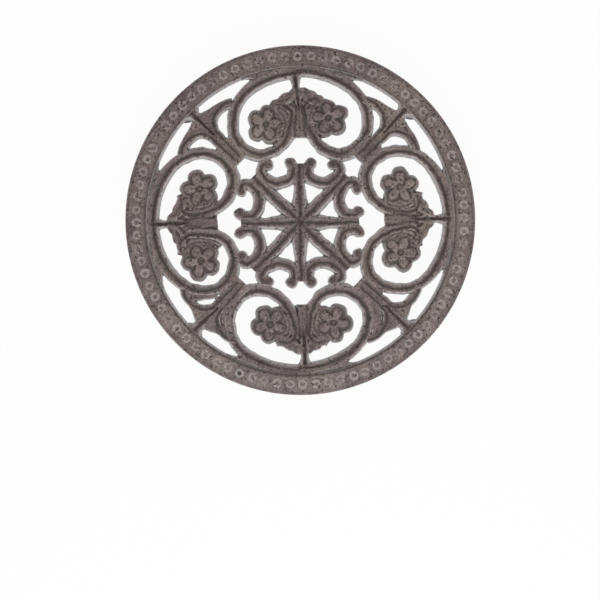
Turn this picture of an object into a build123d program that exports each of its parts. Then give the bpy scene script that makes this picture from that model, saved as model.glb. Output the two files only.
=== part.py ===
from build123d import *
from math import asin, atan2, cos, degrees, radians, sin, sqrt
import os

os.makedirs("parts", exist_ok=True)

# Overall sizes of the trivet
outer_diameter = 180.0
foot_height = 13.4
rim_height = 6.6

# Rim, a ring with a beaded band that slopes down towards its outer edge
rim_width = 11.5
rim_crest_width = 2.4
rim_crest_inset = 1.2
rim_lip_width = 1.2
rim_lip_drop = 1.7
rim_band_drop = 1.0

# Scrollwork, thinner than the rim and flush with it underneath
field_thickness = 5.0
scroll_width = 5.6
crown_inset = 1.5
stem_width = 5.4
groove_width = 1.9
groove_depth = 0.8
spoke_groove_start = 2.0
spoke_groove_length = 21.0
knob_radius = 2.2
knob_rise = 0.6

# Flowers
petal_count = 5
petal_radius = 3.5
petal_pitch = 5.7
petal_turn = -10.0
petal_rise = 0.6
button_radius = 2.4
button_rise = 0.4

# Ball feet and the studs that hold them
foot_count = 4
ball_diameter = 13.6
neck_diameter = 12.4
ground_flat_diameter = 5.0
foot_edge = 0.2
stud_diameter = 5.0
stud_clearance = 0.05
stud_in_foot = 5.6
stud_in_rim = 3.8
stud_end_gap = 0.3

# Worked-out places
outer_radius = outer_diameter / 2
rim_inner_radius = outer_radius - rim_width
plate_bottom = foot_height
field_top = plate_bottom + field_thickness
crest = plate_bottom + rim_height
foot_pitch_radius = outer_radius - foot_edge - ball_diameter / 2
bore_radius = stud_diameter / 2 + stud_clearance
heart_turn = 45.0

# The pattern is drawn for a field of 78.5 mm radius and follows the rim
k = rim_inner_radius / 78.5


def at(x, y):
    return (k * x, k * y)


# Each big scroll is three arcs, tangent end to end, drawn on its middle line:
# a flat crown under the rim, a shoulder and a round bowl around the flower
half_bar = scroll_width / 2
bowl_radius = 15.2 * k
bowl = at(50.2, 19.7)
shoulder_radius = 21.2 * k
shoulder = (bowl[0], bowl[1] - (shoulder_radius - bowl_radius))
crown_reach = rim_inner_radius - crown_inset
reach = crown_reach - shoulder[0]
crown_radius = (reach**2 + shoulder[1] ** 2 - shoulder_radius**2) / (2 * (reach - shoulder_radius))
crown = (crown_reach - crown_radius, 0)
shoulder_angle = degrees(atan2(shoulder[1], shoulder[0] - crown[0]))
stem_angle = degrees(asin(stem_width / 2 / (crown_radius - half_bar)))

# Opening between a scroll and the leaf column, later half filled by a flower
with BuildSketch() as heart_gap:
    with BuildLine():
        crown_arc = CenterArc(crown, crown_radius - half_bar, stem_angle, shoulder_angle - stem_angle)
        CenterArc(shoulder, shoulder_radius - half_bar, shoulder_angle, 90 - shoulder_angle)
        bowl_arc = CenterArc(bowl, bowl_radius - half_bar, 90, 135)
        column = Polyline(bowl_arc @ 1, at(44.6, 9.4), at(60.4, 9.4), at(62.4, 10.8))
        calyx = ThreePointArc(column @ 1, at(66.6, 6.6), (69.8 * k, stem_width / 2))
        Line(calyx @ 1, crown_arc @ 0)
    make_face()
    mirror(about=Plane.XZ)

# Opening between the point of a heart and the star
with BuildSketch() as heart_point_gap:
    with BuildLine():
        tip = ThreePointArc(at(42.3, 0), at(42.0, 1.5), at(41.2, 3.0))
        outer_bowl = CenterArc(bowl, bowl_radius + half_bar, 220, -19)
        Line(tip @ 1, outer_bowl @ 0)
        nose = ThreePointArc(outer_bowl @ 1, at(29.4, 13.5), at(25.6, 16.3))
        pocket = ThreePointArc(nose @ 1, at(22.9, 11.6), at(25.0, 7.5))
        neck = ThreePointArc(pocket @ 1, at(27.4, 7.6), at(29.8, 8.8))
        curl = ThreePointArc(neck @ 1, at(33.0, 7.5), at(33.6, 4.4))
        Line(curl @ 1, at(32.1, 0))
        mirror(about=Plane.XZ)
    make_face()

# Long sliver along the rim, between a scroll and a palmette leaf
sliver_radius = rim_inner_radius
with BuildSketch() as sliver_gap:
    with BuildLine():
        rim_arc = CenterArc((0, 0), sliver_radius, 20.9, 21.4)
        leaf_end = Line(rim_arc @ 1, at(56.2, 51.0))
        serration = ThreePointArc(leaf_end @ 1, at(57.1, 48.6), at(56.8, 46.2))
        leaf = ThreePointArc(serration @ 1, at(60.2, 40.2), at(62.5, 34.6))
        ThreePointArc(leaf @ 1, at(67.6, 31.3), rim_arc @ 0)
    make_face()
    mirror(about=Plane.XZ)

# Crescent between a scroll and the curl of a palmette leaf
with BuildSketch() as crescent_gap:
    with BuildLine():
        inner = ThreePointArc(at(55.0, 38.2), at(50.2, 38.2), at(43.8, 37.3))
        ThreePointArc(inner @ 1, at(49.8, 41.5), inner @ 0)
    make_face()
    mirror(about=Plane.XZ)

# Square eye between a palmette stem and the star
with BuildSketch() as square_gap:
    with BuildLine():
        Polyline(at(31.0, 31.0), at(31.5, 23.6), at(24.2, 24.2), at(23.6, 31.5), close=True)
    make_face()
    fillet(square_gap.vertices(), radius=0.9 * k)

# Three-cornered openings between the spokes of the star
with BuildSketch() as spoke_gap:
    with BuildLine():
        Polyline(at(18.7, 3.2), at(16.3, 11.0), at(10.0, 4.4), close=True)
    make_face()
    fillet(spoke_gap.vertices(), radius=0.7 * k)
    mirror(about=Plane.XZ)

# Two flowers, one each side of a heart's leaf column: a disc with a ring of round petals
flower_place = at(51.4, 16.8)
with BuildSketch() as flower_pair:
    for side in (1, -1):
        with Locations((flower_place[0], side * flower_place[1])):
            Circle(petal_pitch)
            with PolarLocations(petal_pitch, petal_count, start_angle=side * petal_turn):
                Circle(petal_radius)

# V groove along the top of a big scroll, from the stem round to the bowl
with BuildPart() as scroll_groove:
    with BuildLine(Plane.XY.offset(field_top)) as scroll_line:
        CenterArc(crown, crown_radius, 0, shoulder_angle)
        CenterArc(shoulder, shoulder_radius, shoulder_angle, 90 - shoulder_angle)
        CenterArc(bowl, bowl_radius, 90, 128)
    with BuildSketch(Plane((crown_reach, 0, field_top), x_dir=(1, 0, 0), z_dir=(0, 1, 0))):
        with BuildLine():
            Polyline((-groove_width / 2, 0), (0, groove_depth), (groove_width / 2, 0), close=True)
        make_face()
    sweep(path=scroll_line.line)
    mirror(about=Plane.XZ)

# V groove along a spoke, and the deeper crease along a palmette and a leaf column
with BuildPart() as spoke_groove:
    with BuildSketch(Plane.YZ.offset(spoke_groove_start * k)):
        with BuildLine():
            Polyline((-groove_width / 2, field_top), (0, field_top - groove_depth), (groove_width / 2, field_top), close=True)
        make_face()
    extrude(amount=spoke_groove_length * k)

with BuildPart() as palmette_crease:
    with BuildSketch(Plane.YZ.offset(66.0 * k)):
        with BuildLine():
            Polyline((-groove_width / 2, field_top), (0, field_top - groove_depth), (groove_width / 2, field_top), close=True)
        make_face()
    extrude(amount=rim_inner_radius - 66.0 * k)

with BuildPart() as column_crease:
    with BuildSketch(Plane.YZ.offset(43.5 * k)):
        with BuildLine():
            Polyline((-groove_width / 2, field_top), (0, field_top - groove_depth), (groove_width / 2, field_top), close=True)
        make_face()
    extrude(amount=17.0 * k)

# Openwork casting
with BuildPart() as casting:
    # Rim, turned from one section
    with BuildSketch(Plane.XZ):
        with BuildLine():
            Polyline(
                (rim_inner_radius, plate_bottom),
                (outer_radius, plate_bottom),
                (outer_radius, crest - rim_lip_drop),
                (outer_radius - rim_lip_width, crest - rim_lip_drop),
                (outer_radius - rim_lip_width, crest - rim_band_drop),
                (rim_inner_radius + rim_crest_inset + rim_crest_width, crest),
                (rim_inner_radius + rim_crest_inset, crest),
                (rim_inner_radius, crest - rim_crest_inset),
                close=True,
            )
        make_face()
    revolve(axis=Axis.Z)
    # Pierced field, let a little way into the rim
    with BuildSketch(Plane.XY.offset(plate_bottom)):
        Circle(rim_inner_radius + rim_crest_inset)
        with PolarLocations(0, 4, start_angle=heart_turn):
            add(heart_gap.sketch, mode=Mode.SUBTRACT)
            add(heart_point_gap.sketch, mode=Mode.SUBTRACT)
            add(sliver_gap.sketch, mode=Mode.SUBTRACT)
            add(crescent_gap.sketch, mode=Mode.SUBTRACT)
            add(square_gap.sketch, mode=Mode.SUBTRACT)
            add(spoke_gap.sketch, mode=Mode.SUBTRACT)
    extrude(amount=field_thickness)
    # Grooves and creases in the top face
    with PolarLocations(0, 4, start_angle=heart_turn):
        add(scroll_groove.part, mode=Mode.SUBTRACT)
        add(column_crease.part, mode=Mode.SUBTRACT)
    with PolarLocations(0, 4, start_angle=0):
        add(palmette_crease.part, mode=Mode.SUBTRACT)
    with PolarLocations(0, 8, start_angle=0):
        add(spoke_groove.part, mode=Mode.SUBTRACT)
    # Flowers, a little higher than the field, with a round button in each
    with BuildSketch(Plane.XY.offset(plate_bottom)):
        with PolarLocations(0, 4, start_angle=heart_turn):
            add(flower_pair.sketch)
    extrude(amount=field_thickness + petal_rise)
    with BuildSketch(Plane.XY.offset(field_top + petal_rise)):
        with PolarLocations(0, 4, start_angle=heart_turn):
            with Locations(flower_place, (flower_place[0], -flower_place[1])):
                Circle(button_radius)
    extrude(amount=button_rise)
    # Round knobs where the star's scrolls curl up
    with BuildSketch(Plane.XY.offset(field_top)):
        with PolarLocations(0, 4, start_angle=heart_turn):
            with Locations(at(30.9, 5.4), at(30.9, -5.4), at(28.9, 17.2), at(28.9, -17.2)):
                Circle(knob_radius)
    extrude(amount=knob_rise)
    # Blind holes for the studs
    with BuildSketch(Plane.XY.offset(plate_bottom)):
        with PolarLocations(foot_pitch_radius, foot_count):
            Circle(bore_radius)
    extrude(amount=stud_in_rim + stud_end_gap, mode=Mode.SUBTRACT)

casting.part.label = "openwork_casting"
export_step(casting.part, "parts/openwork_casting.step")

# Ball feet and studs, one of each under every palmette
ball_radius = ball_diameter / 2
ball_centre = sqrt(ball_radius**2 - (ground_flat_diameter / 2) ** 2)
neck_start = ball_centre + sqrt(ball_radius**2 - (neck_diameter / 2) ** 2)

for number in range(foot_count):
    turn = number * 360 / foot_count
    foot_place = Vector(foot_pitch_radius, 0, 0).rotate(Axis.Z, turn)
    foot_name = f"ball_foot_{number + 1}"
    stud_name = f"foot_stud_{number + 1}"

    with BuildPart() as ball_foot:
        with BuildSketch(Plane(foot_place, x_dir=(1, 0, 0), z_dir=(0, -1, 0))):
            with BuildLine():
                Line((0, 0), (ground_flat_diameter / 2, 0))
                ThreePointArc(
                    (ground_flat_diameter / 2, 0),
                    (ball_radius, ball_centre),
                    (neck_diameter / 2, neck_start),
                )
                Polyline((neck_diameter / 2, neck_start), (neck_diameter / 2, foot_height), (0, foot_height), (0, 0))
            make_face()
        revolve(axis=Axis(foot_place, (0, 0, 1)))
        with BuildSketch(Plane(foot_place).offset(foot_height)):
            Circle(bore_radius)
        extrude(amount=-stud_in_foot, mode=Mode.SUBTRACT)
    ball_foot.part.label = foot_name
    export_step(ball_foot.part, f"parts/{foot_name}.step")

    with BuildPart() as foot_stud:
        with BuildSketch(Plane(foot_place).offset(foot_height - stud_in_foot)):
            Circle(stud_diameter / 2)
        extrude(amount=stud_in_foot + stud_in_rim)
    foot_stud.part.label = stud_name
    export_step(foot_stud.part, f"parts/{stud_name}.step")
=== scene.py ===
import math

import bpy
import numpy as np
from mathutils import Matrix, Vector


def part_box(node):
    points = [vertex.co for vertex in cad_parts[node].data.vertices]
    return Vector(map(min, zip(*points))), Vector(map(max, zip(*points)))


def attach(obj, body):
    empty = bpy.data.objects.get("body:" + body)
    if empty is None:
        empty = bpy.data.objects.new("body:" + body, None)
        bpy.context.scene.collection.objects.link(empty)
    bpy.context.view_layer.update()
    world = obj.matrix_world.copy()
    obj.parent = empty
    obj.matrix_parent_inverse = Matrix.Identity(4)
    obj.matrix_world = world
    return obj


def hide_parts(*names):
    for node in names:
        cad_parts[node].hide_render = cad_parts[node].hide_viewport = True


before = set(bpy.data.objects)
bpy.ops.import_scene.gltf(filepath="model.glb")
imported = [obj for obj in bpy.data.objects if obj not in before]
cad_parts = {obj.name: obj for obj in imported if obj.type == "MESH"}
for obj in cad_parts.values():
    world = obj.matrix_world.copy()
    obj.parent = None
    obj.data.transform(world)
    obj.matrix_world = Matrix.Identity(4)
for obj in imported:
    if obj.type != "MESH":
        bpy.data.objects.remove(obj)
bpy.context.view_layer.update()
print("frame loaded:", sorted(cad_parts))

mm = 0.001
castLow, castHigh = (np.array(corner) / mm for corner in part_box("openwork_casting"))
fieldThickness = 5.0
facetSlack = 0.03  # keeps the round rim inside the flats of the frame's faceted one

# levels and radius in millimetres, taken from the frame, and the angle of the first heart
plate = {
    "under": float(castLow[2]),
    "crest": float(castHigh[2]),
    "outer": float(castHigh[0] - castLow[0]) / 2 - facetSlack,
    "fieldTop": float(castLow[2]) + fieldThickness,
    "heartTurn": math.radians(45),
}


def meshFrom(name, verts, quads):
    # plain mesh object from a vertex array in millimetres and a quad array
    mesh = bpy.data.meshes.new(name)
    mesh.vertices.add(len(verts))
    mesh.vertices.foreach_set("co", (verts * mm).astype(np.float32).ravel())
    mesh.loops.add(quads.size)
    mesh.loops.foreach_set("vertex_index", quads.astype(np.int32).ravel())
    mesh.polygons.add(len(quads))
    mesh.polygons.foreach_set("loop_start", np.arange(0, quads.size, 4, dtype=np.int32))
    mesh.update(calc_edges=True)
    mesh.polygons.foreach_set("use_smooth", np.ones(len(mesh.polygons), dtype=bool))
    obj = bpy.data.objects.new(name, mesh)
    bpy.context.scene.collection.objects.link(obj)
    return obj


def gridQuads(rows, cols, wrapRows=False):
    # quads of a rows by cols grid, closed round along its columns, and along its rows when asked
    r, c = np.meshgrid(np.arange(rows if wrapRows else rows - 1), np.arange(cols), indexing="ij")
    r2, c2 = (r + 1) % rows, (c + 1) % cols
    return np.stack([r * cols + c, r2 * cols + c, r2 * cols + c2, r * cols + c2], -1).reshape(-1, 4)


def smoothStep(low, high, x):
    # 0 at low, 1 at high, and 3t^2 - 2t^3 between them; low may be the larger one
    t = np.clip((x - low) / (high - low), 0, 1)
    return t * t * (3 - 2 * t)


def bell(x, width):
    # exp(-(x / width)^2): 1 at nought, and near 0 past twice the width
    return np.exp(-((x / width) ** 2))


# mould: how far the pattern sits off the rim's middle, (outward, left) of the first heart, the heights
# of its slow and fine waves, how far the field settles, and the radii between which all that fades
mould = {"shift": (-0.4, -0.3), "slow": 0.2, "fine": 0.13, "settle": 0.1, "fade": (80, 62)}


def handWarp(p):
    # the pattern's shift and slow and fine sine waves, as in a hand-rammed sand mould, fading to the rim
    x, y = p[:, 0], p[:, 1]
    slow, fine = mould["slow"], mould["fine"]
    dx = slow * np.sin(0.19 * y + 0.07 * x + 0.6) + 0.6 * slow * np.sin(0.41 * x - 0.23 * y + 2.1)
    dx = dx + fine * np.sin(1.05 * y + 0.35 * x + 0.3) + 0.7 * fine * np.sin(0.8 * x - 0.9 * y + 1.7)
    dy = slow * np.sin(0.17 * x - 0.09 * y + 1.9) + 0.6 * slow * np.sin(0.37 * y + 0.29 * x + 4.0)
    dy = dy + fine * np.sin(0.95 * x - 0.4 * y + 2.6) + 0.7 * fine * np.sin(0.75 * y + 0.85 * x + 5.1)
    dz = 0.5 * slow * np.sin(0.13 * x + 0.11 * y + 0.4) + 0.4 * fine * np.sin(0.53 * x - 0.47 * y + 1.0)
    c, s = math.cos(plate["heartTurn"]), math.sin(plate["heartTurn"])
    out, left = mould["shift"]
    fade = smoothStep(*mould["fade"], np.hypot(x, y))
    lift = smoothStep(plate["under"], plate["fieldTop"], p[:, 2])
    moveX = (dx + c * out - s * left) * fade
    moveY = (dy + s * out + c * left) * fade
    moveZ = (dz - mould["settle"]) * lift * fade
    return p + np.stack([moveX, moveY, moveZ], -1)


def arc(centre, radius, start, end, step=0.5):
    # points on a circle arc, angles in degrees
    count = max(5, int(abs(end - start) * math.pi / 180 * radius / step))
    a = np.radians(np.linspace(start, end, count))
    return np.stack([centre[0] + radius * np.cos(a), centre[1] + radius * np.sin(a)], -1)


def curve(points, step=0.5):
    # smooth curve through a few points: cubic Hermite spans with Catmull-Rom tangents
    p = np.array(points, float)
    tangent = np.gradient(p, axis=0)
    spans = []
    for a, b, ta, tb in zip(p[:-1], p[1:], tangent[:-1], tangent[1:]):
        t = np.linspace(0, 1, max(3, int(np.linalg.norm(b - a) / step)), endpoint=False)[:, None]
        spans.append((2 * t**3 - 3 * t**2 + 1) * a + (t**3 - 2 * t**2 + t) * ta
                     + (-2 * t**3 + 3 * t**2) * b + (t**3 - t**2) * tb)
    return np.concatenate(spans + [p[-1:]])


def straight(start, end, count=50):
    # points along the axis of a piece, from one distance to another
    x = np.linspace(start, end, count)
    return np.stack([x, 0 * x], -1)


def ringRound(place, radius, angles, count=90):
    # points on a circle round a place, from one angle to another in degrees
    a = np.radians(np.linspace(*angles, count))
    return place + radius * np.stack([np.cos(a), np.sin(a)], -1)


def fullTurn(count):
    # angles evenly round a circle
    return np.linspace(0, 2 * math.pi, count, endpoint=False)


def turnRound(r, z, a, centre=(0, 0)):
    # a section turned round an upright axis, (x + r cos a, y + r sin a, z); r and z may vary with a
    x, y = centre[0] + r * np.cos(a), centre[1] + r * np.sin(a)
    return np.stack([x, y, np.broadcast_to(z, x.shape)], -1).reshape(-1, 3)


# a shell is (points, quads, shade lines): shade-line points (x, y, strength) say where painted shade lies
# dark in a groove
noShade = np.zeros((0, 3))
ridgeShare = 0.48  # where the ridges of a bar lie, as a share of its half width

# cross-section of a scroll bar: share of half width, share of height; sloped sides and a hollow top
barSection = np.array([
    (1.00, 0.00), (0.98, 0.14), (0.91, 0.42), (0.81, 0.67), (0.70, 0.86), (0.58, 0.96), (ridgeShare, 1.00),
    (0.38, 0.98), (0.26, 0.91), (0.13, 0.855), (0.00, 0.84),
])

# cross-section of a web of metal between the bars: short sloped sides and a level top, with points
# across it that keep the quads small on bends
webSection = np.array([
    (1.00, 0.00), (0.97, 0.30), (0.91, 0.68), (0.84, 0.90), (0.76, 0.98), (0.68, 1.00), (0.54, 1.00),
    (0.40, 1.00), (0.26, 1.00), (0.13, 1.00), (0.00, 1.00),
])


def bar(path, half, rise=0.0, groove=1.0, shade=1.0, outside=0.0, section=barSection, across=None):
    # a section carried along a path, its top by rise above the field; half, and outside, by which the
    # right-hand ridge is wider, may be formulas of t, which goes from 0 to 1 along the path
    n = len(path)
    along = np.linspace(0, 1, n)
    half, outside = (value(along) if callable(value) else value for value in (half, outside))
    half, outside = np.broadcast_to(half, n), np.broadcast_to(outside, n)
    if across is None:
        tangent = np.gradient(path, axis=0)
        tangent /= np.linalg.norm(tangent, axis=1)[:, None]
        across = np.stack([-tangent[:, 1], tangent[:, 0]], -1)
    across = np.broadcast_to(across, path.shape)
    share, height = section[:, 0], section[:, 1].copy()
    inner = share < ridgeShare
    height[inner] = 1 - (1 - height[inner]) * groove
    share = np.concatenate([share, -share[-2::-1]])
    height = np.concatenate([height, height[-2::-1]])
    # distance from the path: share times half, less the extra width from the right-hand ridge outwards
    reach = share[None] * half[:, None] - np.clip(-share / ridgeShare, 0, 1)[None] * outside[:, None]
    xy = path[:, None, :] + across[:, None, :] * reach[..., None]
    z = plate["under"] + height * (plate["fieldTop"] + rise - plate["under"])
    rings = np.concatenate([xy, np.broadcast_to(z, reach.shape)[..., None]], -1)
    caps = [np.broadcast_to(r.mean(0), r.shape)[None] for r in (rings[0], rings[-1])]
    rings = np.concatenate([caps[0], rings, caps[1]])
    # the path, with the strength of the painted shade along its groove
    line = np.column_stack([path, np.full(n, shade)])
    return rings.reshape(-1, 3), gridQuads(rings.shape[0], rings.shape[1]), line


def web(path, half, below, across=None):
    # level metal, a little below the tops of the bars
    return bar(path, half, -below, shade=0, section=webSection, across=across)


def shadeAlong(points, strength):
    # painted shade along a seam, with no metal of its own
    line = curve(points)
    return np.zeros((0, 3)), np.zeros((0, 4), int), np.column_stack([line, np.full(len(line), strength)])


# knobs: height of the dome and widths of the side at its knee and foot, as shares of the radius, the
# knee's height in millimetres, and the radius, turn in degrees and strength of the curl of painted shade
boss = {
    "dome": 0.28, "knee": 1.12, "foot": 1.2, "kneeHeight": 2.2, "curl": 0.8, "curlTurn": 300, "shade": 0.9,
    "domeRows": 14, "around": 48,
}


def knob(centre, radius, rise):
    # turned boss: a low elliptic dome and a side that slopes out in two steps, with a curl of painted shade
    # on top
    t = np.linspace(0, 1, boss["domeRows"]) * math.pi / 2
    top, under = plate["fieldTop"] + rise, plate["under"]
    r = np.concatenate([radius * np.sin(t), [radius * boss["knee"], radius * boss["foot"], 0]])
    dome = top - boss["dome"] * radius * (1 - np.cos(t))
    z = np.concatenate([dome, [under + boss["kneeHeight"], under, under]])
    a = fullTurn(boss["around"])
    curl = arc(centre, boss["curl"], 0, boss["curlTurn"])
    curl = np.column_stack([curl, np.full(len(curl), boss["shade"])])
    return turnRound(r[:, None], z[:, None], a, centre), gridQuads(len(r), len(a)), curl


# flower: petals are circles of radius lobe at distance pitch, a little unlike, with a rib on each
flower = {
    "petals": 5, "pitch": 5.6, "lobe": 4.4, "unlike": 0.05, "rise": 0.75, "around": 180, "rings": 44,
    "ribEnds": (1.0, 5.7), "ribHalf": 1.5, "ribSpread": 0.4, "trough": 1.0, "lip": 0.4, "edgeDrop": 1.2,
    "eyeDepth": 0.75, "eyeDot": 0.3, "flare": 0.7,
}


def petalMap(dx, dy, turn):
    # edge: outline of the united circles; arm: 1 on the round-ended rib down each petal, else 0
    fold = 2 * math.pi / flower["petals"]
    a = np.arctan2(dy, dx) - turn
    number = np.round(a / fold)
    alpha = a - number * fold
    size = 1 + flower["unlike"] * np.sin(2.4 * (number % flower["petals"]) + 9 * turn)
    pitch, lobe = flower["pitch"] * size, flower["lobe"] * (2 - size)
    edge = pitch * np.cos(alpha) + np.sqrt(lobe**2 - (pitch * np.sin(alpha)) ** 2)
    r = np.hypot(dx, dy)
    u, v = r * np.cos(alpha), r * np.sin(alpha)
    ribStart, ribEnd = flower["ribEnds"]
    away = np.hypot(u - np.clip(u, ribStart, ribEnd * size), v)
    armHalf = flower["ribHalf"] + flower["ribSpread"] * smoothStep(1.0, 5.0, u)
    arm = smoothStep(armHalf + 0.8, armHalf - 0.5, away)
    return r, edge, arm


def bloom(centre, turn):
    # ribs stand in a trough inside a low lip, round a sunk eye; the wall flares down to the underside
    a = fullTurn(flower["around"])
    edge = petalMap(np.cos(a), np.sin(a), turn)[1]
    t = np.linspace(0, 1, flower["rings"])[:, None]
    r, edge, arm = petalMap(t * edge * np.cos(a), t * edge * np.sin(a), turn)
    z = plate["fieldTop"] + flower["rise"] - flower["trough"] + flower["trough"] * arm
    z = z + flower["lip"] * bell(t - 0.9, 0.07)
    z = z - flower["edgeDrop"] * smoothStep(0.92, 1.0, t) - flower["eyeDepth"] * smoothStep(2.2, 1.5, r)
    z = z + flower["eyeDot"] * bell(r, 0.7)
    wall = np.array([0.06, 0.2, 0.5, 0.8, 1.0])[:, None]
    rWall = edge[-1:] + flower["flare"] * wall
    zWall = z[-1:] + (plate["under"] - z[-1:]) * wall
    r = np.concatenate([t * edge[-1:], rWall, 0 * rWall[-1:]])
    z = np.concatenate([z, zWall, zWall[-1:]])
    return turnRound(r, z, a, centre), gridQuads(len(r), len(a)), noShade


def spin(points, angle):
    # points turned about the middle, any further columns kept
    c, s = math.cos(angle), math.sin(angle)
    plan = np.stack([c * points[:, 0] - s * points[:, 1], s * points[:, 0] + c * points[:, 1]], -1)
    return np.concatenate([plan, points[:, 2:]], 1)


def turned(shell, angle, flip=False):
    # a shell mirrored across its axis when asked, then turned about the middle
    verts, quads, shade = shell
    if flip:
        verts, quads, shade = verts * (1, -1, 1), quads[:, ::-1], shade * (1, -1, 1)
    return spin(verts, angle), quads, spin(shade, angle)


def shifted(shell, move):
    # a shell moved in plan
    verts, quads, shade = shell
    step = np.array([move[0], move[1], 0])
    return verts + step, quads, shade + step


def setMarks(mesh, **marks):
    # edge: how worn; hollow: how sunk, for painted shade in recesses; tone: above nought pale, below nought
    # dark, carrying painted light on slopes, painted shade in grooves and the bead marks
    for name, values in marks.items():
        layer = mesh.attributes.new(name, "FLOAT", "POINT")
        layer.data.foreach_set("value", values.astype(np.float32))


def readPoints(mesh):
    # points in millimetres and normals of a mesh
    co = np.empty(len(mesh.vertices) * 3, np.float32)
    normal = np.empty_like(co)
    mesh.vertices.foreach_get("co", co)
    mesh.vertices.foreach_get("normal", normal)
    return co.reshape(-1, 3).astype(float) / mm, normal.reshape(-1, 3).astype(float)


def standOut(mesh, co, normal, steps):
    # how far each point stands out along its normal from the mean of its neighbourhood
    ends = np.empty(len(mesh.edges) * 2, np.int32)
    mesh.edges.foreach_get("vertices", ends)
    a, b = ends.reshape(-1, 2).T
    count = len(co)
    degree = np.bincount(a, minlength=count) + np.bincount(b, minlength=count)

    def around(v):
        # mean over the neighbours of each point
        sums = [np.bincount(a, c[b], count) + np.bincount(b, c[a], count) for c in v.T]
        return np.stack(sums, -1) / degree[:, None]

    soft = co
    for step in range(steps):
        soft = (soft + 2 * around(soft)) / 3
    out = ((co - soft) * normal).sum(1)[:, None]
    for step in range(2):
        out = (out + around(out)) / 2
    return out[:, 0]


def shadeOn(co, shade, width):
    # strength of the nearest shade-line point times exp(-(distance / width)^2); blocks spare memory
    lines, strength = shade[:, :2].astype(np.float32), shade[:, 2]
    found = []
    for block in np.array_split(co[:, :2].astype(np.float32), max(1, len(co) // 3000)):
        square = ((block[:, None] - lines[None]) ** 2).sum(-1)
        nearest = square.argmin(1)
        found.append(strength[nearest] * np.exp(-square[np.arange(len(block)), nearest] / width**2))
    return np.concatenate(found)


# fusing: voxel sizes and smoothing of the metal, the width of a groove's painted shade and the depths below
# the field top between which it fades, how pale the painted highlight on the slopes is and how far up they
# face, and for each mark the smoothing steps, counted on markVoxel, and the height that counts as full
fusing = {
    "heart": 0.31, "palmette": 0.3, "star": 0.355, "ease": 2, "shadeWidth": 0.95, "shadeFade": (2.4, 1.4),
    "slopeHighlight": 1.0, "slopeTop": (0.9, 0.6), "slopeEnd": (-0.1, 0.2), "markVoxel": 0.3,
    "edgeSteps": 3, "edgeFull": 0.06, "hollowSteps": 22, "hollowFull": 0.25, "hollowFade": (1.0, 3.4),
}


def fuseShells(name, verts, quads, voxel):
    # overlapping closed shells fused to one skin, as the metal runs together in the mould
    rough = meshFrom(name + "Shells", verts, quads)
    fuse = rough.modifiers.new("fuse", "REMESH")
    fuse.mode = "VOXEL"
    fuse.voxel_size = voxel * mm
    soften = rough.modifiers.new("soften", "SMOOTH")
    soften.factor = 0.5
    soften.iterations = fusing["ease"]
    mesh = bpy.data.meshes.new_from_object(rough.evaluated_get(bpy.context.evaluated_depsgraph_get()))
    bpy.data.objects.remove(rough)
    mesh.name = name
    mesh.polygons.foreach_set("use_smooth", np.ones(len(mesh.polygons), dtype=bool))
    mesh.update()
    return mesh


def castPiece(name, shells, voxel, detail=None):
    # shells fused to one piece, with a painted highlight on its slopes and painted shade along the groove
    # lines on its top
    points, faces, shades = zip(*shells)
    offsets = np.cumsum([0] + [len(p) for p in points[:-1]])
    quads = np.concatenate([f + offset for f, offset in zip(faces, offsets)])
    shade = np.concatenate(shades)
    mesh = fuseShells(name, handWarp(np.concatenate(points)), quads, voxel)
    co, normal = readPoints(mesh)
    drawn = 2 * co - handWarp(co)  # where the point was before the mould's waves, near enough
    top = smoothStep(*(plate["fieldTop"] - depth for depth in fusing["shadeFade"]), co[:, 2])
    # painted highlight: slopes that face part way up are made pale
    slope = smoothStep(*fusing["slopeTop"], normal[:, 2]) * smoothStep(*fusing["slopeEnd"], normal[:, 2])
    tone = slope * fusing["slopeHighlight"]
    # painted shade along the groove lines on the top, which takes the place of the slope highlight
    dark = top.copy()
    dark[top > 0] *= shadeOn(drawn[top > 0], shade[shade[:, 2] > 0], fusing["shadeWidth"])
    tone = tone * (1 - dark) - dark
    if detail is not None:
        tone = detail(drawn, tone)
    # smoothing reaches as many voxels as the square root of its steps, so coarser voxels take fewer
    finer = (fusing["markVoxel"] / voxel) ** 2
    edge = standOut(mesh, co, normal, round(fusing["edgeSteps"] * finer)) / fusing["edgeFull"]
    hollow = standOut(mesh, co, normal, round(fusing["hollowSteps"] * finer)) / fusing["hollowFull"]
    hollow = hollow * smoothStep(*(plate["under"] + height for height in fusing["hollowFade"]), co[:, 2])
    setMarks(mesh, tone=tone, edge=edge, hollow=hollow)
    obj = bpy.data.objects.new(name, mesh)
    bpy.context.scene.collection.objects.link(obj)
    print(name, "faces", len(mesh.polygons))
    return obj


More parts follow.
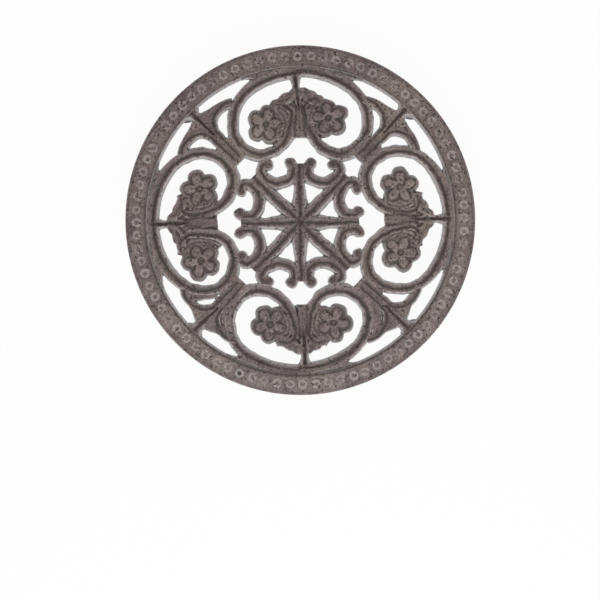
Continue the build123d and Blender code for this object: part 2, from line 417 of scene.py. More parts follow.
# hearts: two big scrolls that curl over a flower each, drawn with x out along the axis and y to the left;
# bed and throat are webs beside a flower, and cling is the web along the rim
heart = {
    "bowl": (50.2, 19.7), "bowlRadius": 15.2, "shoulderRadius": 21.2, "crownReach": 75.9,
    "half": 2.95, "outside": 0.5, "flower": (51.6, 16.9),
    "curl": ((37.2, 12.3), (41.0, 8.4), (46.2, 6.0), (52.0, 4.5),
             (57.0, 3.9), (60.2, 5.6), (61.5, 9.0), (60.6, 13.0)),
    "leafRadius": 9.9, "leafHalf": 2.3, "leafRise": 0.1, "leafAngles": (218, 345),
    "leafGroove": 0.6, "leafShade": 0.4,
    "bedRadius": 9.0, "bedHalf": 3.7, "bedBelow": 0.45, "bedAngles": (213, 345),
    "wing": ((66.8, 0.4), (65.4, 3.8), (63.6, 7.2), (61.6, 10.6), (60.0, 13.6)),
    "wingHalf": 2.1, "wingLobe": 0.75, "wingFollow": 0.8,
    "rib": ((68.0, 1.8), (64.6, 2.6), (62.0, 4.6), (60.8, 7.6), (60.0, 11.6)),
    "ribHalf": 1.3, "ribRise": 0.45, "ribGroove": 0.2,
    "creases": (((67.2, 3.6), (64.6, 4.6), (62.8, 6.8), (61.6, 11.4)),
                ((62.4, 2.2), (59.8, 4.2), (58.6, 7.4), (58.0, 10.6))),
    "creaseShade": 0.6,
    "throat": ((65.0, 3.5), (59.0, 4.0), (54.0, 6.5)), "throatHalf": 4.0, "throatBelow": 0.9,
    "clingRadius": 77.3, "clingHalf": 1.5, "clingBelow": 0.2, "clingTaper": 1.2, "clingPast": 1.12,
}

# stem: a creased spear head between the flowers, and the plain column below it
stem = {
    "ends": (77, 56.5), "half": 2.0, "rise": 0.1, "groove": 1.5, "leanEnds": (56, 72),
    "headAt": 65.0, "headHalf": 2.2, "headLength": 2.4,
    "point": 1.6, "pointEnds": (61.0, 56.5), "root": 0.9, "rootEnds": (69.5, 73.5),
    "columnEnds": (58.5, 42.9), "columnHalf": 2.5, "columnBelow": 0.25,
    "columnFoot": 0.9, "columnFootEnds": (48, 43.5),
    "seam": ((59.5, 1.2), (52, 2.1), (44, 2.6)), "seamShade": 0.9,
    "middle": ((57, 0), (50, 0), (43.5, 0)), "middleShade": 0.4,
}

# each heart as cast, left side first: how its scrolls sit (out, aside) and sag at the bowl, how far round
# the rim they cling in degrees, its flowers (out, aside, turn), how far its stem leans and its wings swell
heartCasts = [
    {"moves": ((0.1, -0.6), (0.9, -0.1)), "sags": (-0.4, -1.3), "tails": (19.5, 22.0),
     "flowers": ((49.9, 17.1, -14), (52.6, 15.2, -9)), "lean": 1.7, "swell": 0.5},
    {"moves": ((-0.2, 0.0), (-0.1, -0.7)), "sags": (0.3, 0.3), "tails": (23.0, 20.5),
     "flowers": ((52.0, 19.8, 7), (52.0, 17.2, 2)), "lean": 0.9, "swell": -0.5},
    {"moves": ((0.2, -1.3), (1.0, -2.6)), "sags": (0.8, -0.2), "tails": (18.5, 26.5),
     "flowers": ((52.7, 15.9, 11), (52.8, 16.5, 5)), "lean": 1.2, "swell": 0.0},
    {"moves": ((0.3, 0.3), (0.4, -0.7)), "sags": (-1.4, -1.4), "tails": (17.5, 19.0),
     "flowers": ((51.1, 16.9, 15), (51.1, 16.7, 3)), "lean": -0.2, "swell": -0.5},
]


def scrollPath(place, move, sag):
    # crown, shoulder and bowl arcs, tangent end to end, then a curl that follows its flower
    bowl, bowlRadius, shoulderRadius = heart["bowl"], heart["bowlRadius"], heart["shoulderRadius"]
    shoulder = (bowl[0], bowl[1] - (shoulderRadius - bowlRadius))
    # the shoulder's circle touches the crown's from inside: (R - reach)^2 + y^2 = (R - shoulderRadius)^2
    reach = heart["crownReach"] - shoulder[0]
    crownRadius = (reach**2 + shoulder[1] ** 2 - shoulderRadius**2) / (2 * (reach - shoulderRadius))
    crown = (heart["crownReach"] - crownRadius, 0)
    turn = math.degrees(math.atan2(shoulder[1], shoulder[0] - crown[0]))
    curl = np.array(heart["curl"])
    follow = np.linspace(0, 1, len(curl))[:, None]
    curl = curl + (np.array(place) - heart["flower"]) * smoothStep(0.1, 0.8, follow)
    bend = arc(bowl, bowlRadius, 150, 186, step=4)
    path = np.concatenate([
        arc(crown, crownRadius, -1, turn)[:-1], arc(shoulder, shoulderRadius, turn, 90)[:-1],
        arc(bowl, bowlRadius, 90, 150)[:-1], curve(np.concatenate([bend, curl])),
    ])
    t = np.linspace(0, 1, len(path))[:, None]
    lower = bell(t - 0.6, 0.13) * np.array((sag, 0))
    return path + np.array(move) * smoothStep(0.9, 0.62, t) + lower


def scrollHalf(t):
    # a little narrower past the bowl, and again where the end lies over the flower
    overFlower = smoothStep(0.86, 0.9, t)
    return heart["half"] - 0.2 * smoothStep(0.7, 0.8, t) - 0.3 * overFlower - smoothStep(0.97, 1, t)


def scrollOutside(t):
    # the outer ridge is wider where the crown runs into the rim, on the bowl and beside the column
    bowl = bell(t - 0.6, 0.06)
    beside = 1.2 * smoothStep(0.74, 0.8, t) * smoothStep(0.91, 0.87, t)
    return heart["outside"] + 0.6 * smoothStep(0.3, 0.22, t) - 0.3 * smoothStep(0.7, 0.8, t) + bowl + beside


def leafHalf(t):
    # nearly even, with round ends: the sixth power keeps it full until close to them
    return heart["leafHalf"] * np.sqrt(np.clip(1 - (2 * t - 1) ** 6, 0.04, 1))


def heartShells(cast, number):
    # one side of a heart, drawn on the left: scroll, flower, the leaf that hugs it and the calyx wing,
    # then the webs of metal between them and the one by which the crown clings to the rim
    x, y, turn = cast["flowers"][number]
    out, aside = cast["moves"][number]
    mirror = 1 - 2 * number
    place = np.array((x, y))
    path = scrollPath(place, (out, mirror * aside), cast["sags"][number])
    scroll = bar(path, scrollHalf, outside=scrollOutside)
    path = ringRound(place, heart["leafRadius"], heart["leafAngles"])
    leaf = bar(path, leafHalf, heart["leafRise"], heart["leafGroove"], heart["leafShade"])
    # the wing's width goes up and down in lobes, as the size of a sine
    path = curve(heart["wing"])
    t = np.linspace(0, 1, len(path))
    path = path + (place - heart["flower"]) * (heart["wingFollow"] * t)[:, None]
    half = heart["wingHalf"] + heart["wingLobe"] * np.abs(np.sin(2.6 * math.pi * t + 0.5))
    half = half - 0.5 * smoothStep(0.85, 1, t) + cast["swell"] * smoothStep(0.05, 0.4, t)
    wing = web(path, half, 0.0)
    rib = bar(curve(heart["rib"]), heart["ribHalf"], heart["ribRise"], heart["ribGroove"], shade=0)
    # the creases are painted shade only, with no metal of their own
    creases = [shadeAlong(points, heart["creaseShade"]) for points in heart["creases"]]
    bedPath = ringRound(place, heart["bedRadius"], heart["bedAngles"])
    bed = web(bedPath, heart["bedHalf"], heart["bedBelow"])
    throat = web(curve(heart["throat"]), heart["throatHalf"], heart["throatBelow"])
    # the clinging web runs along the rim and tapers into it
    path = arc((0, 0), heart["clingRadius"], 0, heart["clingPast"] * cast["tails"][number])
    taper = heart["clingTaper"] * smoothStep(0.7, 1.0, np.linspace(0, 1, len(path)))
    path = path * (1 + taper[:, None] / heart["clingRadius"])
    cling = web(path, heart["clingHalf"] - taper, heart["clingBelow"])
    return [scroll, leaf, wing, rib, cling, bloom(place, math.radians(turn)), bed, throat] + creases


def stemShells(lean):
    # half width: even, with a bell curve for the spear head, a point below it and a root at the crown
    path = straight(*stem["ends"])
    x = path[:, 0]
    path[:, 1] = lean * smoothStep(*stem["leanEnds"], x)
    half = stem["half"] + stem["headHalf"] * bell(x - stem["headAt"], stem["headLength"])
    half = half - stem["point"] * smoothStep(*stem["pointEnds"], x)
    half = half + stem["root"] * smoothStep(*stem["rootEnds"], x)
    spear = bar(path, half, stem["rise"], stem["groove"])
    path = straight(*stem["columnEnds"])
    half = stem["columnHalf"] + stem["columnFoot"] * smoothStep(*stem["columnFootEnds"], path[:, 0])
    column = web(path, half, stem["columnBelow"])
    # the seams and the middle line are painted shade only
    seams = [shadeAlong([(x, side * y) for x, y in stem["seam"]], stem["seamShade"]) for side in (1, -1)]
    return [spear, column] + seams + [shadeAlong(stem["middle"], stem["middleShade"])]


# how far the flowers lose the painted highlight of the slopes, and how dark their troughs (painted shade),
# sides (painted shade and grime) and eyes are
flowerShading = {"calm": 0.7, "trough": 0.65, "side": 0.15, "eye": 0.6}


def heartDetail(angle, cast):
    # flowers: painted shade in the troughs, darker sides of painted shade and grime, a darker eye, paler
    # ribs
    def detail(drawn, tone):
        local = spin(drawn, -angle)
        side = smoothStep(plate["fieldTop"], plate["fieldTop"] - 0.8, local[:, 2])
        for mirror, (x, y, turn) in zip((1, -1), cast["flowers"]):
            r, edge, arm = petalMap(local[:, 0] - x, mirror * local[:, 1] - y, math.radians(turn))
            inside = smoothStep(edge + 1.2, edge + 0.6, r)
            trough = (1 - arm) * smoothStep(0.94, 0.84, r / edge)
            # painted shade in the troughs between the ribs, and painted shade and grime on the sides
            shadeAndGrime = flowerShading["trough"] * trough + flowerShading["side"] * side
            tone = tone * (1 - flowerShading["calm"] * inside) - inside * shadeAndGrime
            tone = tone - flowerShading["eye"] * smoothStep(2.4, 1.4, r)
        return tone
    return detail


hearts = []
for quarter, cast in enumerate(heartCasts):
    angle = plate["heartTurn"] + quarter * math.pi / 2
    shells = [turned(shell, angle) for shell in stemShells(cast["lean"])]
    for number in (0, 1):
        shells += [turned(shell, angle, number == 1) for shell in heartShells(cast, number)]
    hearts.append(castPiece(f"heart{quarter + 1}", shells, fusing["heart"], heartDetail(angle, cast)))

# palmettes: a creased bud between two broad side leaves, on a solid stalk, drawn with x out along the axis;
# a leaf is rows of (across, inner edge, outer edge), and the fills are metal that has run into a crescent
palmette = {
    "leaf": ((0.5, 60.0, 75.6), (3.0, 61.0, 75.3), (4.6, 64.0, 74.8), (6.0, 65.8, 74.4),
             (8.0, 66.8, 73.9), (10.5, 67.2, 73.4), (13.0, 66.8, 72.8), (15.5, 66.0, 72.0),
             (17.4, 65.6, 71.0), (19.0, 65.4, 69.8)),
    "leafBelow": 0.3,
    "groove": ((46, 1.6), (56, 1.8), (64, 2.2), (67.6, 4.4),
               (69.6, 8.6), (70.0, 13.0), (69.2, 16.4), (67.6, 19.0)),
    "grooveHalf": 2.2, "grooveDepth": 1.2, "rise": 0.1, "trimEnds": (4, 10),
    "budEnds": (63, 80), "budHalf": 1.6, "budGroove": 1.4,
    "budSwell": 1.6, "budSwellEnds": (64, 71), "budFlare": 2.2, "budFlareEnds": (76.4, 79.0),
    "stalkEnds": (43.2, 62), "stalkHalf": 6.1, "stalkBelow": 0.15,
    "waist": 49.4, "spread": 0.03, "neckHalf": 3.3, "neckEnds": (54.5, 58.0),
    "whole": {"path": ((56.0, 4.4), (60.5, 6.0), (64.5, 8.8), (67.4, 12.5)), "half": 3.4},
    "part": {"path": ((57.2, 5.0), (61.5, 8.6), (65.0, 11.2), (66.8, 15.0)), "half": 2.3},
    "fillBelow": 0.5,
}

# each palmette as cast: how it sits (out, aside), how much shorter its side leaves stand, and what has
# filled its crescents, as (which fill, on the right side or not)
palmetteCasts = [
    {"move": (0.0, 1.0), "trim": 0.0, "fills": ()},
    {"move": (0.4, -0.6), "trim": 0.2, "fills": ()},
    {"move": (-0.2, 0.3), "trim": 1.2, "fills": (("whole", False), ("part", True))},
    {"move": (-0.4, -1.1), "trim": 1.2, "fills": (("whole", True),)},
]


def grooveHalf(t):
    # narrower along the stalk
    return palmette["grooveHalf"] - 0.5 * smoothStep(0.5, 0.2, t)


def palmetteShells(trim):
    # the bud swells towards its tip and flares over the foot below
    path = straight(*palmette["budEnds"])
    x = path[:, 0]
    half = palmette["budHalf"] + palmette["budSwell"] * smoothStep(*palmette["budSwellEnds"], x)
    half = half + palmette["budFlare"] * smoothStep(*palmette["budFlareEnds"], x)
    bud = bar(path, half, palmette["rise"], palmette["budGroove"])
    # the side leaf fills the room between its inner and outer edges, all its sections standing along x
    across, inner, outer = curve(palmette["leaf"]).T
    outer = outer - trim * smoothStep(*palmette["trimEnds"], across)
    path = np.stack([(inner + outer) / 2, across], -1)
    leaf = web(path, (outer - inner) / 2, palmette["leafBelow"], across=(-1.0, 0.0))
    sideBar = bar(curve(palmette["groove"]), grooveHalf, palmette["rise"], palmette["grooveDepth"])
    # the stalk widens from its waist with the square of the distance, to lie against the round bowls
    path = straight(*palmette["stalkEnds"])
    x = path[:, 0]
    slim = smoothStep(*palmette["neckEnds"], x)
    half = palmette["stalkHalf"] + palmette["spread"] * (x - palmette["waist"]) ** 2
    stalk = web(path, half * (1 - slim) + palmette["neckHalf"] * slim, palmette["stalkBelow"])
    return [bud, leaf, sideBar, stalk]


def crescentFill(kind):
    # metal run into a crescent, along a path of its own
    return web(curve(palmette[kind]["path"]), palmette[kind]["half"], palmette["fillBelow"])


palmettes = []
for quarter, cast in enumerate(palmetteCasts):
    angle = quarter * math.pi / 2
    shells = [turned(shell, 0, flip) for flip in (False, True) for shell in palmetteShells(cast["trim"])]
    shells += [turned(crescentFill(kind), 0, flip) for kind, flip in cast["fills"]]
    shells = [turned(shifted(shell, cast["move"]), angle) for shell in shells]
    palmettes.append(castPiece(f"palmette{quarter + 1}", shells, fusing["palmette"]))

# star: eight hollow spokes and eight scrolled brackets with knobs (out, aside, radius);
# its middle is shifted (out, left) from the pattern's, and each pair of brackets sits as cast (out, aside)
star = {
    "shift": (-0.8, 0.35), "casts": ((0.0, -0.6), (0.2, 0.0), (0.2, 0.0), (-0.4, 0.0)),
    "axisReach": 30.6, "axisHalf": 4.3, "diagonalReach": 34.2, "diagonalHalf": 3.8, "spokePoints": 60,
    "bracket": ((31.0, 6.4), (30.2, 4.2), (27.7, 3.8), (23.9, 4.2), (21.6, 6.7), (20.4, 10.5), (20.7, 14.0),
                (22.7, 17.7), (25.4, 20.1), (28.0, 20.5), (30.1, 18.9), (30.4, 16.7), (29.4, 15.9)),
    "bracketHalf": 3.1, "bracketOutside": 0.5, "bracketRise": 0.1, "bracketShade": 0.9, "bracketStep": 0.4,
    "knobs": ((30.7, 5.2, 2.7), (29.9, 16.8, 2.5)), "knobRise": 0.4,
    "tipStart": 22, "tipHalf": 4.4, "tipBelow": 0.5,
}


def axisHalf(t):
    # two steps narrower on its way out
    return star["axisHalf"] - 1.2 * smoothStep(0.3, 0.6, t) - 1.3 * smoothStep(0.72, 1, t)


def diagonalHalf(t):
    # wider where it runs into the palmette's stalk
    return star["diagonalHalf"] + 0.9 * smoothStep(0.7, 1, t)


def bracketHalf(t):
    # narrower at both curled ends
    return star["bracketHalf"] - 0.6 * smoothStep(0.8, 1, t) - 0.6 * smoothStep(0.18, 0, t)


def bracketOutside(t):
    # a wider outer ridge in the middle
    return star["bracketOutside"] * smoothStep(0.15, 0.35, t) * smoothStep(0.75, 0.55, t)


def starShells():
    # one spoke of each kind, one bracket and its knobs, repeated round the middle
    axisSpoke = bar(straight(0, star["axisReach"], star["spokePoints"]), axisHalf)
    diagonalSpoke = bar(straight(0, star["diagonalReach"], star["spokePoints"]), diagonalHalf)
    tip = web(straight(star["tipStart"], star["axisReach"]), star["tipHalf"], star["tipBelow"])
    path = curve(star["bracket"], star["bracketStep"])
    side = [bar(path, bracketHalf, star["bracketRise"], shade=star["bracketShade"], outside=bracketOutside)]
    side += [knob((x, y), radius, star["knobRise"]) for x, y, radius in star["knobs"]]
    shells = []
    for quarter, move in enumerate(star["casts"]):
        angle = plate["heartTurn"] + quarter * math.pi / 2
        shells += [turned(axisSpoke, angle), turned(diagonalSpoke, angle + math.pi / 4), turned(tip, angle)]
        for flip in (False, True):
            shells += [turned(shifted(turned(shell, 0, flip), move), angle) for shell in side]
    move = spin(np.array([star["shift"]]), plate["heartTurn"])[0]
    return [shifted(shell, move) for shell in shells]


starPiece = castPiece("star", starShells(), fusing["star"])

# rim: one section turned round, with ring beads pressed on its sloping band; section rows are
# (radius, height above the underside) at the foot and (radius, depth below the crest) above it
rim = {
    "beads": 80, "beadRadius": 84.4, "ring": 1.8, "ringWidth": 0.6, "rise": 0.42,
    "dot": 0.2, "dotWidth": 0.65, "sink": 0.32, "perBead": 24,
    "jog": (0.25, 0.2), "oval": 0.08, "crisp": (0.66, 0.34),
    "innerFoot": ((78.5, 0.0), (78.65, 1.2), (78.9, 3.2)),
    "innerTop": ((79.2, 1.9), (79.45, 1.1), (79.75, 0.55), (80.2, 0.15), (80.8, 0.02)),
    "band": (81.4, 88.0), "bandDepth": (0.02, 0.97), "bandRows": 22,
    "beadsIn": (80.8, 81.8), "beadsOut": (88.3, 87.6),
    "outerStep": ((88.35, 1.12), (88.55, 1.4), (88.7, 1.68), (88.9, 1.78),
                  (89.2, 1.76), (89.6, 1.78), (89.85, 1.9), (89.97, 2.2)),
    "wallTop": 2.7, "wallFoot": ((0.0, 1.2), (0.1, 0.5), (0.4, 0.1), (1.0, 0.0)), "underRadius": 84.5,
}

# how pale the rings and the discs in them are, and the inner slope as painted light; how dark the dots
# and gaps are, and the lines as painted shade; and where each of them lies or fades
rimWearAndShading = {
    "ring": 0.42, "dot": 0.7, "dotWidth": 0.6, "disc": 0.16, "discEnds": (2.5, 1.9),
    "gap": 0.22, "gapEnds": (2.3, 2.9), "beadsIn": (81.0, 82.0),
    "innerLine": 0.6, "innerLineAt": 80.1, "innerLineWidth": 0.6,
    "outerLine": 0.4, "outerLineAt": 88.7, "outerLineWidth": 0.45,
    "slope": 0.9, "slopeEnds": (79.6, 79.1), "topFade": (1.0, 0.4),
}


def beadPattern(radius, angle):
    # distance to the nearest bead's middle, jogged a little from bead to bead, and how crisp it is, 0 to 1;
    # jog is (along the rim, outward), and crisp is (mean, swing)
    jogAlong, jogOut = rim["jog"]
    mean, swing = rim["crisp"]
    step = 2 * math.pi / rim["beads"]
    number = np.round(angle / step) % rim["beads"]
    across = ((angle + step / 2) % step - step / 2) * radius + jogAlong * np.sin(number * 2.3)
    stretch = 1 + rim["oval"] * np.sin(number * 3.1)
    along = (radius - rim["beadRadius"] + jogOut * np.sin(number * 1.9 + 1.0)) * stretch
    crisp = mean + swing * np.sin(number * 1.7 + 0.4) * np.sin(number * 0.43 + 1.0)
    return np.hypot(across, along), crisp


def rimSection():
    # (radius, height) from the inner foot over the crest and band to the outer wall and back underneath
    outer, under, crest = plate["outer"], plate["under"], plate["crest"]
    band = np.linspace(*rim["band"], rim["bandRows"])
    bandDepth = np.linspace(*rim["bandDepth"], rim["bandRows"])
    fromCrest = np.array([1, -1])  # a depth counts downwards
    return np.concatenate([
        np.array(rim["innerFoot"]) + (0, under),
        np.array(rim["innerTop"]) * fromCrest + (0, crest),
        np.column_stack([band, crest - bandDepth]),
        np.array(rim["outerStep"]) * fromCrest + (0, crest),
        np.array([(outer, crest - rim["wallTop"])]),
        np.array(rim["wallFoot"]) * (-1, 1) + (outer, under),
        np.array([(rim["underRadius"], under)]),
    ])


def rimSurface():
    # the section turned round; each bead is a raised ring with a dot pressed in its middle
    r, z = rimSection().T[:, :, None]
    a = fullTurn(rim["beads"] * rim["perBead"])
    away, crisp = beadPattern(r, a)
    bead = rim["rise"] * bell(away - rim["ring"], rim["ringWidth"])
    bead = bead - rim["dot"] * bell(away, rim["dotWidth"])
    upper = z > (plate["under"] + plate["crest"]) / 2
    onBand = smoothStep(*rim["beadsIn"], r) * smoothStep(*rim["beadsOut"], r) * upper
    z = z + onBand * crisp * (bead - rim["sink"])
    return turnRound(r, z, a), gridQuads(len(r), len(a), wrapRows=True)


def rimTone(co):
    # pale rings with a dark dot, painted shade as a dark line inside the band and along its outer step, and
    # painted light on the pale inner slope
    radius, angle = np.hypot(co[:, 0], co[:, 1]), np.arctan2(co[:, 1], co[:, 0]) % (2 * math.pi)
    away, crisp = beadPattern(radius, angle)
    top = smoothStep(*(plate["fieldTop"] - depth for depth in rimWearAndShading["topFade"]), co[:, 2])
    bead = rimWearAndShading["ring"] * bell(away - rim["ring"], rim["ringWidth"])
    bead = bead - rimWearAndShading["dot"] * bell(away, rimWearAndShading["dotWidth"])
    bead = bead + rimWearAndShading["disc"] * smoothStep(*rimWearAndShading["discEnds"], away)
    bead = bead - rimWearAndShading["gap"] * smoothStep(*rimWearAndShading["gapEnds"], away)
    band = smoothStep(*rimWearAndShading["beadsIn"], radius) * smoothStep(*rim["beadsOut"], radius)
    line = rimWearAndShading["innerLine"] * bell(radius - rimWearAndShading["innerLineAt"], rimWearAndShading["innerLineWidth"])
    line = line + rimWearAndShading["outerLine"] * bell(radius - rimWearAndShading["outerLineAt"], rimWearAndShading["outerLineWidth"])
    slope = rimWearAndShading["slope"] * smoothStep(*rimWearAndShading["slopeEnds"], radius)
    return top * (bead * crisp * band - line) + slope


rimPiece = meshFrom("rim", *rimSurface())
rimPoints = readPoints(rimPiece.data)[0]
setMarks(rimPiece.data, tone=rimTone(rimPoints), edge=0 * rimPoints[:, 0], hollow=0 * rimPoints[:, 0])
print("rim faces", len(rimPiece.data.polygons))

# ball feet: a ball on a short neck, turned round its own axis
foot = {
    "ball": 6.8, "neck": 6.2, "flat": 2.5, "flatRing": 0.7, "shoulder": 0.5,
    "ballRows": 26, "neckRows": 4, "around": 72,
}


def footSurface(centre):
    # section from the ground flat round the ball, a circle cut off at the flat, and up the neck
    ball, neck, flat = foot["ball"], foot["neck"], foot["flat"]
    rise = math.sqrt(ball**2 - flat**2)
    low = math.asin(-rise / ball)
    high = math.acos(neck / ball)
    t = np.linspace(low, high, foot["ballRows"])
    neckLow = rise + ball * math.sin(high) + foot["shoulder"]
    neckHeights = np.linspace(neckLow, plate["under"], foot["neckRows"])
    r = np.concatenate([[0, flat * foot["flatRing"]], ball * np.cos(t), [neck] * foot["neckRows"], [0]])
    z = np.concatenate([[0, 0], rise + ball * np.sin(t), neckHeights, [plate["under"]]])
    a = fullTurn(foot["around"])
    return turnRound(r[:, None], z[:, None], a, centre), gridQuads(len(r), len(a))[:, ::-1]


feet = []
for number in range(4):
    low, high = (np.array(corner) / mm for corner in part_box(f"ball_foot_{number + 1}"))
    piece = meshFrom(f"foot{number + 1}", *footSurface((low + high)[:2] / 2))
    plain = np.zeros(len(piece.data.vertices))
    setMarks(piece.data, tone=plain, edge=plain, hollow=plain)
    feet.append(piece)
print("feet made")

# paint: brown-grey, with a painted highlight on slopes and wear pale on edges, painted shade dark in
# grooves and hollows, and dark brown specks
paint = {
    "dark": (0.098, 0.070, 0.066), "mid": (0.222, 0.164, 0.155), "brown": (0.165, 0.114, 0.092),
    "tan": (0.300, 0.238, 0.195), "pale": (0.480, 0.440, 0.438),
    "hollow": (0.025, 0.016, 0.015), "speck": (0.020, 0.012, 0.010),
}

# noise scales of the paint, in waves to the metre, and its finish, with the bump's height in millimetres
skin = {
    "blotch": 190, "brownPatch": 60, "tanPatch": 26, "grain": 1500, "shadeAndGrime": 380, "wear": 420, "speck": 760,
    "specular": 0.4, "sheen": 0.9, "sheenRoughness": 0.3, "bump": 0.6, "bumpHeight": 0.25,
}


def castSkinGroup():
    # blotches, grain, specks and edge wear, with painted highlight on slopes and painted shade in grooves
    # and hollows, shared by every iron piece
    group = bpy.data.node_groups.new("castSkin", "ShaderNodeTree")
    sockets = group.interface
    for name in ("Wear", "Hollow", "Specks"):
        sockets.new_socket(name=name, in_out="INPUT", socket_type="NodeSocketFloat").default_value = 1.0
    for name, kind in (("Color", "Color"), ("Roughness", "Float"), ("Height", "Float")):
        sockets.new_socket(name=name, in_out="OUTPUT", socket_type="NodeSocket" + kind)
    nodes, links = group.nodes, group.links
    inputs, outputs = nodes.new("NodeGroupInput"), nodes.new("NodeGroupOutput")
    where = nodes.new("ShaderNodeTexCoord").outputs["Object"]

    def noise(scale, detail, roughness=0.55):
        n = nodes.new("ShaderNodeTexNoise")
        n.inputs["Scale"].default_value = scale
        n.inputs["Detail"].default_value = detail
        n.inputs["Roughness"].default_value = roughness
        links.new(where, n.inputs["Vector"])
        return n.outputs["Fac"]

    def ramp(value, low, high):
        # linear ramp of a value from 0 at low to 1 at high
        m = nodes.new("ShaderNodeMapRange")
        m.inputs["From Min"].default_value = low
        m.inputs["From Max"].default_value = high
        links.new(value, m.inputs["Value"])
        return m.outputs["Result"]

    def times(a, b):
        # product of a node's value and a number or another node's value, kept from 0 to 1
        m = nodes.new("ShaderNodeMath")
        m.operation = "MULTIPLY"
        m.use_clamp = True
        for socket, value in zip(m.inputs, (a, b)):
            if isinstance(value, (int, float)):
                socket.default_value = value
            else:
                links.new(value, socket)
        return m.outputs[0]

    def mix(factor, a, b):
        # colour a, and colour b where the factor is 1
        m = nodes.new("ShaderNodeMix")
        m.data_type = "RGBA"
        links.new(factor, m.inputs["Factor"])
        for socket, value in zip([s for s in m.inputs if s.type == "RGBA"], (a, b)):
            if isinstance(value, tuple):
                socket.default_value = value + (1,)
            else:
                links.new(value, socket)
        return [s for s in m.outputs if s.type == "RGBA"][0]

    def mark(name):
        attribute = nodes.new("ShaderNodeAttribute")
        attribute.attribute_name = name
        return attribute.outputs["Fac"]

    edge, deep, tone = mark("edge"), mark("hollow"), mark("tone")
    grain = noise(skin["grain"], 4, 0.65)
    colour = mix(ramp(noise(skin["blotch"], 5, 0.65), 0.36, 0.64), paint["dark"], paint["mid"])
    colour = mix(times(ramp(noise(skin["brownPatch"], 3), 0.45, 0.7), 0.6), colour, paint["brown"])
    colour = mix(times(ramp(noise(skin["tanPatch"], 2), 0.5, 0.68), 0.5), colour, paint["tan"])
    colour = mix(times(ramp(grain, 0.5, 0.76), 0.6), colour, paint["pale"])
    colour = mix(times(ramp(grain, 0.5, 0.26), 0.9), colour, paint["hollow"])
    # painted highlight where the tone is above nought
    colour = mix(ramp(tone, 0.0, 1.0), colour, paint["pale"])
    worn = times(ramp(edge, 0.2, 1.6), ramp(noise(skin["wear"], 3), 0.3, 0.62))
    colour = mix(times(worn, inputs.outputs["Wear"]), colour, paint["pale"])
    # painted shade in recesses, from the hollow mark
    recessShade = times(ramp(deep, -0.05, -1.0), inputs.outputs["Hollow"])
    colour = mix(recessShade, colour, paint["hollow"])
    # where the tone is below nought: painted shade in grooves and troughs, with the darker flower sides and
    # bead marks
    shadeAndGrimeMask = times(ramp(tone, 0.0, -1.0), ramp(noise(skin["shadeAndGrime"], 3), 0.2, 0.5))
    colour = mix(shadeAndGrimeMask, colour, paint["hollow"])
    speck = times(ramp(noise(skin["speck"], 2, 0.5), 0.575, 0.65), inputs.outputs["Specks"])
    colour = mix(speck, colour, paint["speck"])
    links.new(colour, outputs.inputs["Color"])
    links.new(ramp(grain, -0.7, 2.0), outputs.inputs["Roughness"])
    links.new(grain, outputs.inputs["Height"])
    return group


castSkin = castSkinGroup()


def ironPaint(name, wear, hollow, specks):
    # painted iron: the shared skin with its own wear, and a sheen that pales it at a low angle
    material = bpy.data.materials.new(name)
    material.use_nodes = True
    nodes, links = material.node_tree.nodes, material.node_tree.links
    shader = nodes["Principled BSDF"]
    shader.inputs["Specular IOR Level"].default_value = skin["specular"]
    shader.inputs["Sheen Weight"].default_value = skin["sheen"]
    shader.inputs["Sheen Roughness"].default_value = skin["sheenRoughness"]
    surface = nodes.new("ShaderNodeGroup")
    surface.node_tree = castSkin
    surface.inputs["Wear"].default_value = wear
    surface.inputs["Hollow"].default_value = hollow
    surface.inputs["Specks"].default_value = specks
    links.new(surface.outputs["Color"], shader.inputs["Base Color"])
    links.new(surface.outputs["Roughness"], shader.inputs["Roughness"])
    bump = nodes.new("ShaderNodeBump")
    bump.inputs["Strength"].default_value = skin["bump"]
    bump.inputs["Distance"].default_value = skin["bumpHeight"] * mm
    links.new(surface.outputs["Height"], bump.inputs["Height"])
    links.new(bump.outputs["Normal"], shader.inputs["Normal"])
    return material


# studs: colour of the steel and scale of its grain, in waves to the metre
stud = {"colour": (0.42, 0.41, 0.40, 1), "grain": 2500}


def studSteel():
    # plain steel with a fine grain in its roughness
    material = bpy.data.materials.new("studSteel")
    material.use_nodes = True
    nodes, links = material.node_tree.nodes, material.node_tree.links
    shader = nodes["Principled BSDF"]
    shader.inputs["Metallic"].default_value = 1.0
    shader.inputs["Base Color"].default_value = stud["colour"]
    grain = nodes.new("ShaderNodeTexNoise")
    grain.inputs["Scale"].default_value = stud["grain"]
    links.new(nodes.new("ShaderNodeTexCoord").outputs["Object"], grain.inputs["Vector"])
    links.new(grain.outputs["Fac"], shader.inputs["Roughness"])
    return material


# the hollow input sets the painted shade in recesses; the rim and feet get none
rimPaint = ironPaint("rimPaint", wear=0.0, hollow=0.0, specks=1.0)
scrollPaint = ironPaint("scrollPaint", wear=0.35, hollow=1.0, specks=1.0)
footPaint = ironPaint("footPaint", wear=0.0, hollow=0.0, specks=0.7)
steel = studSteel()

for piece in hearts + palmettes + [starPiece, rimPiece]:
    piece.data.materials.append(rimPaint if piece is rimPiece else scrollPaint)
    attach(piece, "root")
    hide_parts("openwork_casting")
for number, piece in enumerate(feet):
    piece.data.materials.append(footPaint)
    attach(piece, "root")
    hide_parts(f"ball_foot_{number + 1}")
    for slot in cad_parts[f"foot_stud_{number + 1}"].material_slots:
        slot.material = steel
print("paint applied")

# studio: a white room that lights at this strength, and a table that shows this share of plain white
studio = {"room": 0.6, "tableShow": 0.94, "tableHalf": 4000, "tableGrey": 0.9, "tableRoughness": 0.9}


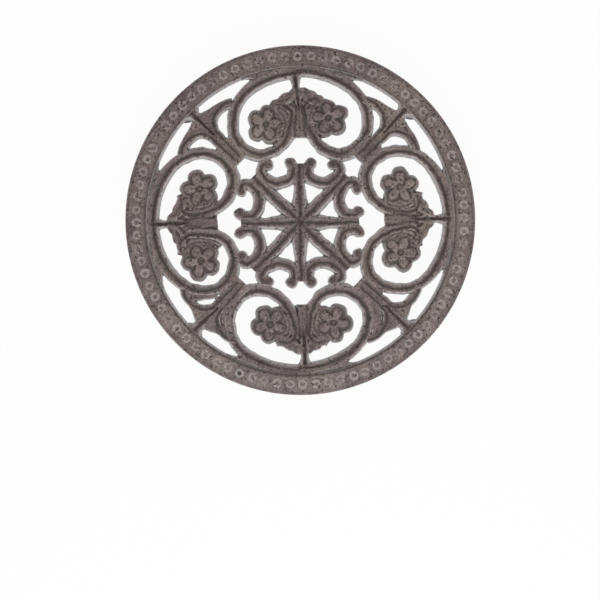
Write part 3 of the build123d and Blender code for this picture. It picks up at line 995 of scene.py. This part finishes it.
def seenRays(nodes, links):
    # 1 on rays that the camera, a gloss or a clear body sees, else 0
    path = nodes.new("ShaderNodeLightPath")
    total = path.outputs["Is Camera Ray"]
    for name in ("Is Glossy Ray", "Is Transmission Ray"):
        add = nodes.new("ShaderNodeMath")
        add.use_clamp = True
        links.new(total, add.inputs[0])
        links.new(path.outputs[name], add.inputs[1])
        total = add.outputs[0]
    return total


def scaled(nodes, links, value, factor, base):
    # value times factor plus base
    m = nodes.new("ShaderNodeMath")
    m.operation = "MULTIPLY_ADD"
    links.new(value, m.inputs[0])
    m.inputs[1].default_value = factor
    m.inputs[2].default_value = base
    return m.outputs[0]


corners = np.array([(-1, -1, 0), (1, -1, 0), (1, 1, 0), (-1, 1, 0)]) * studio["tableHalf"]
table = meshFrom("table", corners, np.array([[0, 1, 2, 3]]))
tableTop = bpy.data.materials.new("tableTop")
tableTop.use_nodes = True
nodes, links = tableTop.node_tree.nodes, tableTop.node_tree.links
shader = nodes["Principled BSDF"]
shader.inputs["Base Color"].default_value = (studio["tableGrey"],) * 3 + (1,)
shader.inputs["Roughness"].default_value = studio["tableRoughness"]
white = nodes.new("ShaderNodeEmission")
blend = nodes.new("ShaderNodeMixShader")
links.new(scaled(nodes, links, seenRays(nodes, links), studio["tableShow"], 0.0), blend.inputs[0])
links.new(shader.outputs[0], blend.inputs[1])
links.new(white.outputs[0], blend.inputs[2])
links.new(blend.outputs[0], nodes["Material Output"].inputs["Surface"])
table.data.materials.append(tableTop)

room = bpy.data.worlds.new("room")
bpy.context.scene.world = room
room.use_nodes = True
nodes, links = room.node_tree.nodes, room.node_tree.links
background = nodes["Background"]
background.inputs["Color"].default_value = (1, 1, 1, 1)
shown = scaled(nodes, links, seenRays(nodes, links), 1 - studio["room"], studio["room"])
links.new(shown, background.inputs["Strength"])

# lights: a soft one above and a low one before the object; sizes and distances in metres
lights = {
    "softTop": {"watts": 1.5, "size": 0.5, "away": 0.65, "azimuth": 230, "elevation": 58},
    "softLow": {"watts": 1.65, "size": 0.8, "away": 1.0, "azimuth": 225, "elevation": 28},
}


def softLight(name, watts, size, away, azimuth, elevation):
    # square area light aimed at the middle of the plate
    data = bpy.data.lights.new(name, "AREA")
    data.size = size
    data.energy = watts
    light = bpy.data.objects.new(name, data)
    a, e = math.radians(azimuth), math.radians(elevation)
    flat = away * math.cos(e)
    light.location = (flat * math.cos(a), flat * math.sin(a), away * math.sin(e))
    light.rotation_euler = (0, math.pi / 2 - e, a)
    bpy.context.scene.collection.objects.link(light)


for name, light in lights.items():
    softLight(name, **light)

# camera straight above: where the rim's middle lies in the picture, how many pixels its radius has
# in a picture so many pixels wide, how far the first heart leans from upright, and the height in metres
view = {"height": 0.95, "radiusPixels": 175.0, "centrePixel": (300.3, 220.1), "frame": 600.0, "roll": 0.87}
sensorWidth = 36
pixel = plate["outer"] * mm / view["radiusPixels"]
cameraData = bpy.data.cameras.new("above")
cameraData.sensor_width = sensorWidth
cameraData.lens = sensorWidth * view["height"] / (view["frame"] * pixel)
cameraData.clip_start = 0.01
camera = bpy.data.objects.new("above", cameraData)
upTurn = plate["heartTurn"] - math.radians(view["roll"])
right = np.array([math.sin(upTurn), -math.cos(upTurn)])
up = np.array([math.cos(upTurn), math.sin(upTurn)])
aside = (view["frame"] / 2 - view["centrePixel"][0]) * pixel
ahead = (view["centrePixel"][1] - view["frame"] / 2) * pixel
offset = aside * right + ahead * up
camera.location = (offset[0], offset[1], plate["fieldTop"] * mm + view["height"])
camera.rotation_euler = (0, 0, upTurn - math.pi / 2)
bpy.context.scene.collection.objects.link(camera)
bpy.context.scene.camera = camera
bpy.context.scene.view_settings.view_transform = "Standard"
print("studio set")
